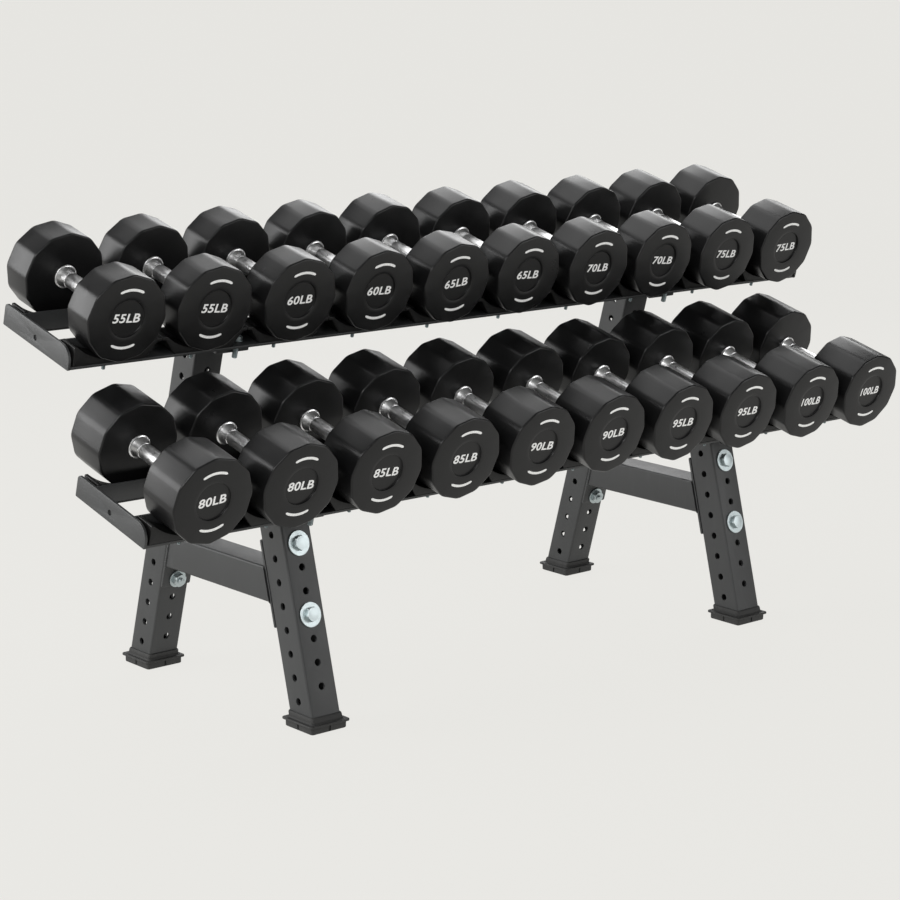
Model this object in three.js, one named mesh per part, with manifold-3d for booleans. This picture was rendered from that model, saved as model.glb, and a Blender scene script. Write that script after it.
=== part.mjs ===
// Two-tier dumbbell rack, loaded with twenty dumbbells, two of each weight. Millimetres, +Z up, +X to the
// right, and the front of the rack faces -Y. Two short front legs carry the lower tray, two long rear posts
// carry the upper one, and a bolted crossbar ties each leg to its post.
import * as THREE from "three";
import { mergeVertices } from "three/addons/utils/BufferGeometryUtils.js";
import Module from "manifold-3d";

const wasm = await Module();
wasm.setup();

// ---- Driving dimensions ----
const FIT = 0.3; // gap kept between pieces that touch
const THROUGH = 3; // a hole's cutting tool is this many times as long as what it goes through is thick
const HEX = 6; // sides of a nut, a bolt head or a small screw
const ARC_SEGMENTS = 6;

// trays and what stands on them
const SEATS = 10; // dumbbells on a tray
const SEAT_PITCH = 218.5; // from one dumbbell to the next
const TRAY_DEPTH = 252; // front edge to rear edge, along the slope
const TRAY_TILT = 15; // degrees, front edge low
const LOWER_TRAY_HEIGHT = 500; // where the front legs' axis meets the lower tray's underside
const UPPER_TRAY_HEIGHT = 818; // where the rear posts' axis meets the upper tray's underside
const TRAY_FRONT_TO_LEG = 156; // tray's front edge to the leg's axis, along the slope
const END_PLATE = 6;
const END_PLATE_HEIGHT = 48;
const END_PLATE_FRONT_RADIUS = 34;
const END_PLATE_REAR_RADIUS = 9;
const END_PLATE_FOOT_RADIUS = 3;
const END_PLATE_HOLE = 10;
const END_PLATE_HOLE_BACK = 3; // behind the plate's middle
const END_PLATE_HOLE_HEIGHT = 20;
const RAIL_THICKNESS = 6;
const RAIL_INSET = 3; // rail edge back from the tray's edge
const UPRIGHT = 4; // a rail is an angle: this is the thickness of its upright flange, on the tray's inner side
const FRONT_UPRIGHT_HEIGHT = 42;
const REAR_UPRIGHT_HEIGHT = 46;
const FRONT_UPRIGHT_GAP = 0.5; // front upright behind the front heads' inner faces
const REAR_UPRIGHT_GAP = 21.5; // rear upright in front of the rear heads' inner faces

// moulded cradles, joined into one strip for each rail
const CRADLE_DEPTH = 51; // along the slope
const CRADLE_TOP = 48; // top of the flats between seats
const CRADLE_FLAT = 28; // width of the flat between two seats
const CRADLE_WALL = 7; // over the hollow beneath a flat
const CRADLE_END_GAP = 7; // from the end plates
const HOLLOW_WIDTH = 74; // hollow beneath a flat, where it meets the rail
const STUD = 8; // cradle screw, one beneath each seat
const FRONT_STUD_DROP = 33; // screw end below the rail's top
const REAR_STUD_DROP = 12;
const STUD_BACK = 42; // screw axis from the tray's edge
const STUD_CLEARANCE = 2; // a rail's hole is this much wider than the screw or stud through it

// legs and posts
const SEATS_BETWEEN_LEGS = 6; // the legs stand this many seats apart, beneath flats
const LEG_LEAN = 15; // degrees
const FOOT_SPREAD = 307.4; // leg axis at the floor, from the middle
const TUBE = 76.2;
const TUBE_WALL = 5;
const TUBE_HOLE = 16;
const HOLE_SIDES = 6;
const HOLE_PITCH = 50.8;
const HOLE_DATUM = 391; // crossbar's upper bolt, along the leg's axis from the floor
const END_MARGIN = 52; // no hole closer than this to a tube's end

// feet
const PAD = 94;
const PAD_HEIGHT = 15;
const PAD_FLANGE = 105;
const PAD_FLANGE_HEIGHT = 5;
const COLLAR_HEIGHT = 14;
const COLLAR_WALL = 4;
const FOOT_FLOOR = 8; // pad left beneath the tube

// brackets beneath the trays
const BRACKET_PLATE = 6;
const BRACKET_WALL = 5;
const BRACKET_DEPTH = 26;
const BRACKET_SKIRT_TUBES = 2.2; // skirt's length along the tray, in tube widths
const BRACKET_FRONT_GAP = 16; // from the tray's front edge
const BRACKET_REAR_GAP = 18; // from its rear edge
const BRACKET_STUD = 12;
const BRACKET_STUD_TAIL = 5; // above its nut
const BRACKET_STUD_DROP = 35; // below the rail
const BRACKET_STUD_BACK = 33; // stud axis from the tray's edge
const NUT_HEIGHT = 9;
const NUT_RADIUS = 11;

// crossbars
const BAR_CENTRE = 291; // height
const FLANGE = 6;
const FLANGE_LENGTH = 192;
const BOLT_PITCHES = 3; // hole pitches between a flange's two bolts
const BOLT = 13.5;
const WASHER = 54;
const WASHER_THICKNESS = 3.5;
const BOLT_HEAD = 33; // across corners
const BOLT_HEAD_HEIGHT = 11;
const BOLT_TAIL = 7;
const BACK_WASHER = 42;
const BOLT_SIDES = 12;

// dumbbells
const HEAD = 190; // across corners
const HEAD_SIDES = 12;
const GRIP_LENGTH = 158; // between the two heads
const GRIP = 34;
const SLEEVE = 52; // where the grip flares against a head
const SLEEVE_LENGTH = 22;
const RECESS = 82;
const RECESS_DEPTH = 2.5;
const LIGHTEST_LENGTH = 316;
const LENGTH_PER_POUND = 2.33; // each pound more adds this
const UPPER_FIRST_POUNDS = 55;
const LOWER_FIRST_POUNDS = 80;
const POUND_STEP = 5; // two dumbbells of each weight
const SEAT_OFFSET = 13.5; // dumbbell's middle behind the tray's middle
const SEAT_HEIGHT = 109.2; // dumbbell's axis above the tray's underside

// ---- Worked out from them ----
const lean = THREE.MathUtils.degToRad(LEG_LEAN);
const tilt = THREE.MathUtils.degToRad(TRAY_TILT);
const cradlesLength = SEATS * SEAT_PITCH;
const legX = (SEATS_BETWEEN_LEGS * SEAT_PITCH) / 2;
const seatBottom = SEAT_HEIGHT - HEAD / 2 - FIT;
const seatBack = TRAY_DEPTH / 2 + SEAT_OFFSET;
const frontInner = seatBack - GRIP_LENGTH / 2 + FRONT_UPRIGHT_GAP + UPRIGHT; // front rail's inner edge
const rearInner = seatBack + GRIP_LENGTH / 2 - REAR_UPRIGHT_GAP - UPRIGHT; // rear rail's inner edge
const railTop = RAIL_THICKNESS;
const cradleFoot = railTop + FIT;

// ---- Helpers ----
function toSolid(geometry) {
  const bare = geometry.clone();
  bare.deleteAttribute("normal");
  bare.deleteAttribute("uv");
  const merged = mergeVertices(bare, 1e-4);
  return new wasm.Manifold(
    new wasm.Mesh({
      numProp: 3,
      vertProperties: new Float32Array(merged.attributes.position.array),
      triVerts: new Uint32Array(merged.index.array),
    }),
  );
}

function toGeometry(solid) {
  const mesh = solid.getMesh();
  const geometry = new THREE.BufferGeometry();
  geometry.setAttribute("position", new THREE.BufferAttribute(mesh.vertProperties, 3));
  geometry.setIndex(new THREE.BufferAttribute(mesh.triVerts, 1));
  geometry.computeVertexNormals();
  return geometry;
}

function join(geometries) {
  return toGeometry(geometries.map(toSolid).reduce((whole, piece) => whole.add(piece)));
}

function cut(geometry, tools) {
  return toGeometry(tools.map(toSolid).reduce((left, tool) => left.subtract(tool), toSolid(geometry)));
}

// A block between two corners.
function block(low, high) {
  const size = high.map((h, i) => h - low[i]);
  const geometry = new THREE.BoxGeometry(...size);
  return geometry.translate(...low.map((l, i) => l + size[i] / 2));
}

// A prism along X, from a shape drawn in (y, z).
function prismX(shape, width, curveSegments = ARC_SEGMENTS) {
  const geometry = new THREE.ExtrudeGeometry(shape, {
    depth: width,
    bevelEnabled: false,
    curveSegments,
  });
  geometry.applyMatrix4(new THREE.Matrix4().makeBasis(
    new THREE.Vector3(0, 1, 0),
    new THREE.Vector3(0, 0, 1),
    new THREE.Vector3(1, 0, 0),
  ));
  return geometry.translate(-width / 2, 0, 0);
}

function outline(points) {
  return new THREE.Shape(points.map(([a, b]) => new THREE.Vector2(a, b)));
}

// A round or many-sided bar along one axis, centred on a point.
function rod(diameter, length, axis, centre, sides = 8) {
  const geometry = new THREE.CylinderGeometry(diameter / 2, diameter / 2, length, sides);
  if (axis === "x") geometry.rotateZ(Math.PI / 2);
  if (axis === "z") geometry.rotateX(Math.PI / 2);
  return geometry.translate(...centre);
}

// A turned piece along Y, from (radius, y) points.
function turnedY(points, sides) {
  return new THREE.LatheGeometry(points.map(([r, y]) => new THREE.Vector2(r, y)), sides);
}

function material(color, roughness, metalness) {
  return new THREE.MeshStandardMaterial({ color, roughness, metalness });
}

const frameBlack = material(0x1b1b1c, 0.55, 0.4);
const mouldedBlack = material(0x101010, 0.6, 0);
const rubberBlack = material(0x161616, 0.8, 0);
const urethaneBlack = material(0x131313, 0.45, 0);
const zinc = material(0xc8ccd0, 0.35, 1);

const rack = new THREE.Group();

function add(parent, name, geometry, look) {
  const mesh = new THREE.Mesh(geometry, look);
  mesh.name = name;
  parent.add(mesh);
  return mesh;
}

// ---- Legs, posts and their feet ----
// A leg is drawn in its own frame: Z up its axis from the floor, Y square to it, towards the rear.

// A level plane at a height, as a line z(y) in the frame of a leg that leans by an angle.
function levelIn(angle, height) {
  return (y) => height / Math.cos(angle) - y * Math.tan(angle);
}

// The tray's underside in the same frame: the axis crosses it at a height, and it rises to the rear.
function trayIn(angle, height, below) {
  const drop = below / Math.cos(tilt - angle);
  return (y) => height / Math.cos(lean) - drop + y * Math.tan(tilt - angle);
}

function slantedBox(width, depth, bottom, top) {
  const half = depth / 2;
  return prismX(
    outline([
      [-half, bottom(-half)],
      [half, bottom(half)],
      [half, top(half)],
      [-half, top(-half)],
    ]),
    width,
  );
}

function holeHeights(first, lowest, highest) {
  const start = first + Math.ceil((lowest - first) / HOLE_PITCH) * HOLE_PITCH;
  const heights = [];
  for (let z = start; z <= highest; z += HOLE_PITCH) heights.push(z);
  return heights;
}

function legGeometry(angle, trayHeight) {
  const bottom = levelIn(angle, FOOT_FLOOR + FIT);
  const top = trayIn(angle, trayHeight, BRACKET_PLATE + 2 * FIT);
  const bore = TUBE - 2 * TUBE_WALL;
  const above = (line, extra) => (y) => line(y) + extra;
  const inside = slantedBox(bore, bore, above(bottom, -TUBE), above(top, TUBE));
  const lowest = bottom(0) + END_MARGIN;
  const highest = top(0) - END_MARGIN;
  const facing = holeHeights(HOLE_DATUM, lowest, highest).map((z) =>
    rod(TUBE_HOLE, THROUGH * TUBE, "y", [0, 0, z], HOLE_SIDES),
  );
  const sideways = holeHeights(HOLE_DATUM + HOLE_PITCH / 2, lowest, highest).map((z) =>
    rod(TUBE_HOLE, THROUGH * TUBE, "x", [0, 0, z], HOLE_SIDES),
  );
  return cut(slantedBox(TUBE, TUBE, bottom, top), [inside, ...facing, ...sideways]);
}

function footGeometry(angle) {
  const padTop = PAD_HEIGHT + PAD_FLANGE_HEIGHT;
  const centre = footShift(angle);
  const pad = block([-PAD / 2, centre - PAD / 2, 0], [PAD / 2, centre + PAD / 2, PAD_HEIGHT]);
  const flange = block(
    [-PAD_FLANGE / 2, centre - PAD_FLANGE / 2, PAD_HEIGHT],
    [PAD_FLANGE / 2, centre + PAD_FLANGE / 2, padTop],
  );
  const collarSize = TUBE + 2 * COLLAR_WALL;
  const upright = new THREE.Matrix4().makeRotationX(angle);
  const collar = slantedBox(
    collarSize,
    collarSize,
    levelIn(angle, PAD_HEIGHT + PAD_FLANGE_HEIGHT / 2),
    levelIn(angle, padTop + COLLAR_HEIGHT),
  ).applyMatrix4(upright);
  const socketSize = TUBE + 2 * FIT;
  const socket = slantedBox(
    socketSize,
    socketSize,
    levelIn(angle, FOOT_FLOOR),
    levelIn(angle, THROUGH * padTop),
  ).applyMatrix4(upright);
  return cut(join([pad, flange, collar]), [socket]);
}

// The pad is centred under the tube where the tube meets the flange, not on its axis at the floor.
function footShift(angle) {
  return -Math.tan(angle) * (PAD_HEIGHT + PAD_FLANGE_HEIGHT);
}

// ---- Crossbar bolts ----
// Drawn along -Y through the leg: head and washer on the front, nut and washer behind the flange.
function boltGeometry(headOut, nutIn) {
  const washer = [
    [0, -headOut - WASHER_THICKNESS],
    [WASHER / 2, -headOut - WASHER_THICKNESS],
    [WASHER / 2, -headOut],
    [BOLT / 2, -headOut],
  ];
  const shank = [
    [BOLT / 2, nutIn],
    [BACK_WASHER / 2, nutIn],
    [BACK_WASHER / 2, nutIn + WASHER_THICKNESS],
    [BOLT_HEAD / 2, nutIn + WASHER_THICKNESS],
    [BOLT_HEAD / 2, nutIn + WASHER_THICKNESS + BOLT_HEAD_HEIGHT],
    [BOLT / 2, nutIn + WASHER_THICKNESS + BOLT_HEAD_HEIGHT],
    [BOLT / 2, nutIn + WASHER_THICKNESS + BOLT_HEAD_HEIGHT + BOLT_TAIL],
    [0, nutIn + WASHER_THICKNESS + BOLT_HEAD_HEIGHT + BOLT_TAIL],
  ];
  const turned = turnedY([...washer, ...shank], BOLT_SIDES);
  const headFar = -headOut - WASHER_THICKNESS - BOLT_HEAD_HEIGHT;
  const headNear = -headOut - WASHER_THICKNESS / 2;
  const head = rod(BOLT_HEAD, headNear - headFar, "y", [0, (headFar + headNear) / 2, 0], HEX);
  return join([turned, head]);
}

// ---- Trays, drawn in their own frame: origin at the front bottom edge, Y up the slope, Z square to it ----
function endPlateGeometry() {
  const front = END_PLATE_FRONT_RADIUS;
  const rear = END_PLATE_REAR_RADIUS;
  const foot = END_PLATE_FOOT_RADIUS;
  const high = END_PLATE_HEIGHT;
  const shape = new THREE.Shape();
  shape.moveTo(foot, 0);
  shape.lineTo(TRAY_DEPTH - foot, 0);
  shape.absarc(TRAY_DEPTH - foot, foot, foot, -Math.PI / 2, 0, false);
  shape.lineTo(TRAY_DEPTH, high - rear);
  shape.absarc(TRAY_DEPTH - rear, high - rear, rear, 0, Math.PI / 2, false);
  shape.lineTo(front, high);
  shape.absarc(front, high - front, front, Math.PI / 2, Math.PI, false);
  shape.lineTo(0, foot);
  shape.absarc(foot, foot, foot, Math.PI, 1.5 * Math.PI, false);
  const hole = new THREE.Path();
  const holeY = TRAY_DEPTH / 2 + END_PLATE_HOLE_BACK;
  hole.absarc(holeY, END_PLATE_HOLE_HEIGHT, END_PLATE_HOLE / 2, 0, 2 * Math.PI, true);
  shape.holes.push(hole);
  return prismX(shape, END_PLATE, 4);
}

function seatCentres() {
  return Array.from({ length: SEATS }, (_, i) => (i - (SEATS - 1) / 2) * SEAT_PITCH);
}

// The near side, as y, of something set back from the tray's front or rear edge.
function fromEdge(rear, inset, width) {
  return rear ? TRAY_DEPTH - inset - width : inset;
}

// An angle section: a flat flange under the cradles and an upright one on the tray's inner side.
function railGeometry(rear) {
  const half = cradlesLength / 2 - FIT;
  const near = rear ? rearInner : RAIL_INSET;
  const far = rear ? TRAY_DEPTH - RAIL_INSET : frontInner;
  const upright = rear ? near : far - UPRIGHT;
  const height = rear ? REAR_UPRIGHT_HEIGHT : FRONT_UPRIGHT_HEIGHT;
  const bar = join([
    block([-half, near, 0], [half, far, railTop]),
    block([-half, upright, 0], [half, upright + UPRIGHT, height]),
  ]);
  const studY = fromEdge(rear, STUD_BACK, 0);
  const bracketY = fromEdge(rear, BRACKET_STUD_BACK, 0);
  const hole = (width, x, y) =>
    rod(width + STUD_CLEARANCE, THROUGH * railTop, "z", [x, y, railTop / 2], HEX);
  const holes = seatCentres().map((x) => hole(STUD, x, studY));
  const slots = [-legX, legX].map((x) => hole(BRACKET_STUD, x, bracketY));
  return cut(bar, [...holes, ...slots]);
}

function cradleGeometry(rear) {
  const halfFlat = CRADLE_FLAT / 2;
  const halfSeat = SEAT_PITCH / 2 - halfFlat;
  const rise = CRADLE_TOP - seatBottom;
  const radius = (halfSeat ** 2 + rise ** 2) / (2 * rise);
  const swing = Math.asin(halfSeat / radius);
  const start = -cradlesLength / 2 + CRADLE_END_GAP;
  const hollowTop = CRADLE_TOP - CRADLE_WALL;
  const shape = new THREE.Shape();
  shape.moveTo(start, cradleFoot);
  shape.lineTo(start, CRADLE_TOP);
  for (const x of seatCentres()) {
    shape.lineTo(x - halfSeat, CRADLE_TOP);
    shape.absarc(x, seatBottom + radius, radius, -Math.PI / 2 - swing, -Math.PI / 2 + swing, false);
  }
  shape.lineTo(-start, CRADLE_TOP);
  shape.lineTo(-start, cradleFoot);
  for (let i = SEATS - 1; i > 0; i -= 1) {
    const flat = (i - SEATS / 2) * SEAT_PITCH;
    shape.lineTo(flat + HOLLOW_WIDTH / 2, cradleFoot);
    shape.lineTo(flat + halfFlat - CRADLE_WALL / 2, hollowTop);
    shape.lineTo(flat - halfFlat + CRADLE_WALL / 2, hollowTop);
    shape.lineTo(flat - HOLLOW_WIDTH / 2, cradleFoot);
  }
  const strip = new THREE.ExtrudeGeometry(shape, {
    depth: CRADLE_DEPTH,
    bevelEnabled: false,
    curveSegments: ARC_SEGMENTS,
  });
  strip.rotateX(Math.PI / 2);
  const near = fromEdge(rear, RAIL_INSET, CRADLE_DEPTH);
  strip.translate(0, near + CRADLE_DEPTH, 0);
  const studLength = (rear ? REAR_STUD_DROP : FRONT_STUD_DROP) + (seatBottom - railTop) / 2;
  const studTop = railTop + (seatBottom - railTop) / 2;
  const studY = fromEdge(rear, STUD_BACK, 0);
  const studs = seatCentres().map((x) =>
    rod(STUD, studLength, "z", [x, studY, studTop - studLength / 2], HEX),
  );
  return join([strip, ...studs]);
}

// A plate beneath both rails with a skirt over the leg's top, and a stud and nut through each rail.
function bracketGeometry() {
  const inner = TUBE / 2 + FIT;
  const outer = inner + BRACKET_WALL;
  const near = BRACKET_FRONT_GAP;
  const far = TRAY_DEPTH - BRACKET_REAR_GAP;
  const skirtMiddle = (near + far) / 2;
  const skirtNear = skirtMiddle - (BRACKET_SKIRT_TUBES * TUBE) / 2;
  const skirtFar = skirtMiddle + (BRACKET_SKIRT_TUBES * TUBE) / 2;
  const plate = block([-outer, near, -FIT - BRACKET_PLATE], [outer, far, -FIT]);
  const skirt = block([-outer, skirtNear, -BRACKET_DEPTH], [outer, skirtFar, -FIT - BRACKET_PLATE / 2]);
  const inside = block(
    [-inner, skirtNear + BRACKET_WALL, -THROUGH * BRACKET_DEPTH],
    [inner, skirtFar - BRACKET_WALL, -FIT - BRACKET_PLATE],
  );
  const studs = [false, true].flatMap((rear) => {
    const y = fromEdge(rear, BRACKET_STUD_BACK, 0);
    const high = railTop + FIT + NUT_HEIGHT + BRACKET_STUD_TAIL;
    const length = high + BRACKET_STUD_DROP;
    return [
      rod(BRACKET_STUD, length, "z", [0, y, high - length / 2], HEX),
      rod(2 * NUT_RADIUS, NUT_HEIGHT, "z", [0, y, railTop + FIT + NUT_HEIGHT / 2], HEX),
    ];
  });
  return cut(join([plate, skirt, ...studs]), [inside]);
}

function dumbbellLength(pounds) {
  return LIGHTEST_LENGTH + LENGTH_PER_POUND * (pounds - UPPER_FIRST_POUNDS);
}

// Two twelve-sided heads on one grip, turned so that a corner points straight down.
function dumbbellGeometry(pounds) {
  const half = [
    [RECESS / 2, dumbbellLength(pounds) / 2 - RECESS_DEPTH],
    [RECESS / 2, dumbbellLength(pounds) / 2],
    [HEAD / 2, dumbbellLength(pounds) / 2],
    [HEAD / 2, GRIP_LENGTH / 2],
    [SLEEVE / 2, GRIP_LENGTH / 2],
    [GRIP / 2, GRIP_LENGTH / 2 - SLEEVE_LENGTH],
  ];
  const end = dumbbellLength(pounds) / 2 - RECESS_DEPTH;
  const near = half.map(([r, y]) => [r, -y]);
  return turnedY([[0, -end], ...near, ...half.reverse(), [0, end]], HEAD_SIDES);
}

function poundsAt(seat, first) {
  return first + POUND_STEP * Math.floor(seat / 2);
}

// ---- Assembly ----
const tiers = [
  { name: "lower", angle: -lean, height: LOWER_TRAY_HEIGHT, first: LOWER_FIRST_POUNDS },
  { name: "upper", angle: lean, height: UPPER_TRAY_HEIGHT, first: UPPER_FIRST_POUNDS },
];
const sides = [
  { name: "left", x: -legX },
  { name: "right", x: legX },
];

for (const tier of tiers) {
  const front = tier.angle < 0;
  const standName = front ? "front_leg" : "rear_post";
  const footY = -FOOT_SPREAD * (front ? 1 : -1);
  for (const side of sides) {
    const stand = new THREE.Group();
    stand.position.set(side.x, footY, 0);
    stand.rotation.x = tier.angle;
    rack.add(stand);
    add(stand, `${standName}_${side.name}`, legGeometry(tier.angle, tier.height), frameBlack);

    const footName = front ? "front_foot" : "rear_foot";
    const foot = add(rack, `${footName}_${side.name}`, footGeometry(tier.angle), rubberBlack);
    foot.position.set(side.x, footY, 0);

    // bolts: washers bear on the leg's outer face and on the flange
    for (const [index, place] of ["top", "bottom"].entries()) {
      const bolt = add(
        stand,
        `${front ? "front" : "rear"}_bolt_${place}_${side.name}`,
        boltGeometry(TUBE / 2 + FIT, TUBE / 2 + FLANGE + 2 * FIT),
        zinc,
      );
      bolt.position.z = HOLE_DATUM - index * BOLT_PITCHES * HOLE_PITCH;
      if (!front) bolt.rotation.z = Math.PI;
    }
  }

  const crossing = footY - Math.tan(tier.angle) * tier.height;
  const tray = new THREE.Group();
  tray.position.set(
    0,
    crossing - Math.cos(tilt) * TRAY_FRONT_TO_LEG,
    tier.height - Math.sin(tilt) * TRAY_FRONT_TO_LEG,
  );
  tray.rotation.x = tilt;
  rack.add(tray);

  for (const side of sides) {
    const plate = add(tray, `${tier.name}_end_plate_${side.name}`, endPlateGeometry(), frameBlack);
    plate.position.x = Math.sign(side.x) * (cradlesLength + END_PLATE) / 2;
    const bracket = add(tray, `${tier.name}_bracket_${side.name}`, bracketGeometry(), frameBlack);
    bracket.position.x = side.x;
  }
  for (const [place, rear] of [["front", false], ["rear", true]]) {
    add(tray, `${tier.name}_${place}_rail`, railGeometry(rear), frameBlack);
    add(tray, `${tier.name}_${place}_cradles`, cradleGeometry(rear), mouldedBlack);
  }
  for (const [seat, x] of seatCentres().entries()) {
    const number = String(seat + 1).padStart(2, "0");
    const pounds = poundsAt(seat, tier.first);
    const dumbbell = add(
      tray,
      `${tier.name}_dumbbell_${number}`,
      dumbbellGeometry(pounds),
      urethaneBlack,
    );
    dumbbell.position.set(x, seatBack, SEAT_HEIGHT);
  }
}

// ---- Crossbars: a tube between two flange plates that lie along the leg and the post ----
function crossbarGeometry() {
  // the leg's rear face, and its mirror image on the post, as y at a height
  const face = (z, off) =>
    -FOOT_SPREAD + Math.tan(lean) * z + (TUBE / 2 + FIT + off) / Math.cos(lean);
  const boltMiddle = (HOLE_DATUM - (BOLT_PITCHES * HOLE_PITCH) / 2) * Math.cos(lean);
  const reach = (FLANGE_LENGTH / 2) * Math.cos(lean);
  const flangeTop = boltMiddle + reach;
  const flangeBottom = boltMiddle - reach;
  const low = BAR_CENTRE - TUBE / 2;
  const high = BAR_CENTRE + TUBE / 2;
  const bar = (inset, off) =>
    prismX(
      outline([
        [face(low + inset, off), low + inset],
        [-face(low + inset, off), low + inset],
        [-face(high - inset, off), high - inset],
        [face(high - inset, off), high - inset],
      ]),
      TUBE - 2 * inset,
    );
  const flanges = [-1, 1].map((way) => {
    const corners = [
      [face(flangeBottom, 0), flangeBottom],
      [face(flangeBottom, FLANGE), flangeBottom],
      [face(flangeTop, FLANGE), flangeTop],
      [face(flangeTop, 0), flangeTop],
    ].map(([y, z]) => [-way * y, z]);
    if (way > 0) corners.reverse();
    return prismX(outline(corners), TUBE);
  });
  const bolts = [0, BOLT_PITCHES].flatMap((pitches) => {
    const along = HOLE_DATUM - pitches * HOLE_PITCH;
    return [-1, 1].map((way) => {
      const hole = rod(TUBE_HOLE, THROUGH * TUBE, "y", [0, 0, along], HOLE_SIDES);
      hole.rotateX(way * lean);
      return hole.translate(0, way * FOOT_SPREAD, 0);
    });
  });
  const shell = join([bar(0, FLANGE / 2), ...flanges]);
  return cut(shell, [bar(TUBE_WALL, -FLANGE), ...bolts]);
}

for (const side of sides) {
  const bar = add(rack, `crossbar_${side.name}`, crossbarGeometry(), frameBlack);
  bar.position.x = side.x;
}

// Stand the rack on the floor with the middle of its outline over the origin.
rack.updateMatrixWorld(true);
const bounds = new THREE.Box3().setFromObject(rack, true);
const middle = bounds.getCenter(new THREE.Vector3());
rack.position.set(-middle.x, -middle.y, -bounds.min.z);

export default rack;
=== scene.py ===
import math
import random

import bmesh
import bpy
from mathutils import Matrix, Vector


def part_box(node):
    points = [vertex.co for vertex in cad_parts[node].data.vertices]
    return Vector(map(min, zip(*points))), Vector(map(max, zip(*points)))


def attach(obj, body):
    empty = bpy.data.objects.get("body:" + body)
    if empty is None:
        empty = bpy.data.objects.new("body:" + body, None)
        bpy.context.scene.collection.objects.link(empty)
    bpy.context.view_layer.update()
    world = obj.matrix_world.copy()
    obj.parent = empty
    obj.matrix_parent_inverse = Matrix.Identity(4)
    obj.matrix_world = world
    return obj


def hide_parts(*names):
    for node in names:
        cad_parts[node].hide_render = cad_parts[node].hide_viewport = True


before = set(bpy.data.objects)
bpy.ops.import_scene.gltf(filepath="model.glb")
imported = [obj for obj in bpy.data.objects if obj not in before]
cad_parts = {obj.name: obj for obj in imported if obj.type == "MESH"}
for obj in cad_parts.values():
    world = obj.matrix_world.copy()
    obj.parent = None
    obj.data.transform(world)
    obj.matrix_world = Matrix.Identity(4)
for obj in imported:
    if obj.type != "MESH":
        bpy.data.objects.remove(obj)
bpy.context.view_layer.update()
rng = random.Random(7)
MM = 0.001

# ---- Sizes, in millimetres, as the CAD has them ----
TRAY_TILT = 15
LEG_LEAN = 15
FOOT_SPREAD = 307.4  # a leg's axis at the floor, from the middle of the crossbars
LEG_TRAY_HEIGHT = {"front_leg": 500, "rear_post": 818}
TUBE, TUBE_WALL, TUBE_CORNER = 76.2, 5, 5
TUBE_HOLE, HOLE_PITCH, HOLE_DATUM, END_MARGIN = 16, 50.8, 391, 52
BRACKET_PLATE, BRACKET_WALL, BRACKET_DEPTH, BRACKET_NOSE = 6, 5, 26, 25.18
BRACKET_FRONT, BRACKET_BACK = 16, 234
FIT = 0.3
PAD, PAD_HEIGHT, FLANGE_WIDTH, FLANGE_HEIGHT = 94, 15, 105, 5
COLLAR_HEIGHT, COLLAR_WALL, FOOT_FLOOR = 14, 4, 8
TRAY_DEPTH = 252
RAIL_THICKNESS, RAIL_INSET, UPRIGHT = 6, 3, 4
RAIL_INNER = {"front": 65, "rear": 193}  # a rail's edge on the tray's inner side, where its upright flange is
UPRIGHT_HEIGHT = {"front": 42, "rear": 46}
CRADLE_DEPTH, CRADLE_TOP, CRADLE_FLAT, CRADLE_WALL, HOLLOW_WIDTH = 51, 48, 28, 7, 74
CRADLE_END_GAP = 7
STUD, STUD_BACK = 8, 42
STUD_DROP = {"front": 33}  # the rear screws have pan heads
BRACKET_STUD, BRACKET_STUD_BACK = 12, 33
BRACKET_STUD_DROP = {"front": 35, "rear": 22}
BRACKET_STUD_RISE, BRACKET_NUT, BRACKET_NUT_HEIGHT = 14, 22, 8
BRACKET_WASHER, BRACKET_UNDER_WASHER, THIN_WASHER = 26, 15.5, 1.6
SCREW_WASHER, SCREW_NUT, SCREW_NUT_HEIGHT = 17, 15, 6.7
END_PLATE_HEIGHT, END_PLATE_HOLE, END_PLATE_HOLE_HEIGHT, END_PLATE_HOLE_BACK = 48, 12, 20, 3
END_PLATE_FOOT, END_PLATE_REAR, END_PLATE_FRONT = 3, 9, 34  # corner radii
LEG_SEATS = 3  # seats from the rack's middle to a leg
SEATS, SEAT_PITCH, SEAT_BACK, SEAT_HEIGHT = 10, 218.5, 139.5, 109.2
HEAD, HEAD_SIDES, RECESS = 190, 12, 82
HEAD_ROUNDED_OFF = 1.1  # what the rounding takes off a corner, so that a head stays within HEAD
RECESS_DEPTH = 4  # deeper than in the CAD, to show as well as on the real one
GRIP_LENGTH, GRIP, SLEEVE, SLEEVE_LENGTH = 158, 34, 52, 22
BOLT, WASHER, WASHER_THICKNESS, BOLT_HEAD, BOLT_HEAD_HEIGHT = 13.5, 54, 3.5, 33, 11
BACK_WASHER, BOLT_TAIL, BOLT_PITCHES = 42, 7, 3
BAR_CENTRE, BAR_FLANGE, BAR_FLANGE_LENGTH = 291, 6, 192
FIRST_POUNDS = {"upper": 55, "lower": 80}

tilt = math.radians(TRAY_TILT)
lean = math.radians(LEG_LEAN)


def centre(node):
    low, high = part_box(node)
    return (low + high) / 2


# ---- Materials ----
def material(name, color, roughness, metallic=0.0, specular=0.5):
    mat = bpy.data.materials.new(name)
    mat.use_nodes = True
    shader = mat.node_tree.nodes["Principled BSDF"]
    shader.inputs["Base Color"].default_value = (*color, 1)
    shader.inputs["Roughness"].default_value = roughness
    shader.inputs["Metallic"].default_value = metallic
    shader.inputs["Specular IOR Level"].default_value = specular
    return mat


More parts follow.
